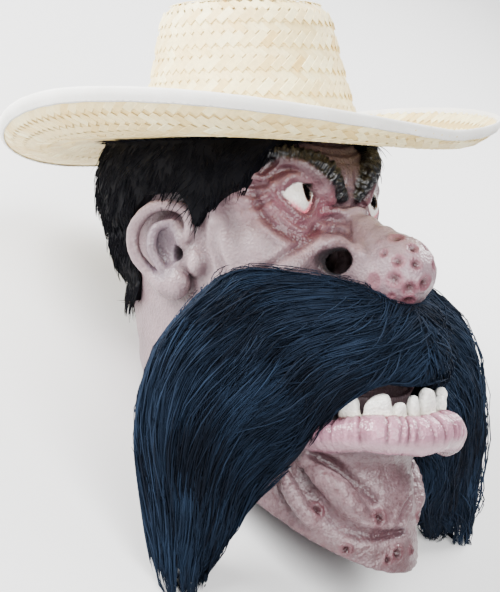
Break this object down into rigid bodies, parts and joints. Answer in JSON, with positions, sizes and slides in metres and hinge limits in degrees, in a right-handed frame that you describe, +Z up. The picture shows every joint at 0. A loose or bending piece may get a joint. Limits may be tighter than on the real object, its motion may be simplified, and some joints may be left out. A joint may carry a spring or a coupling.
{
  "type": "costume mask",
  "caption": "Over-the-head costume mask: hollow rubber face and neck with a fur wig, a huge drooping fur moustache and a plaited straw hat bound in tape.",
  "frame": {"origin": "under the middle of the mask's box, on the surface it is laid on", "axes": "+X towards the wearer's left, -Y towards the chin and moustache tips, +Z up, with the face looking up and forward and the hat's brim leaning back"},
  "size_m": [0.4234, 0.5056, 0.3503],
  "materials": {
    "latex": "satin",
    "wig_fur": "matte",
    "moustache_fur": "matte",
    "straw": "matte",
    "tape": "matte"
  },
  "bodies": {
    "root": {"mask_shell": "latex", "hair": "wig_fur", "moustache": "moustache_fur", "hat_straw": "straw", "hat_binding": "tape"}
  },
  "joints": []
}
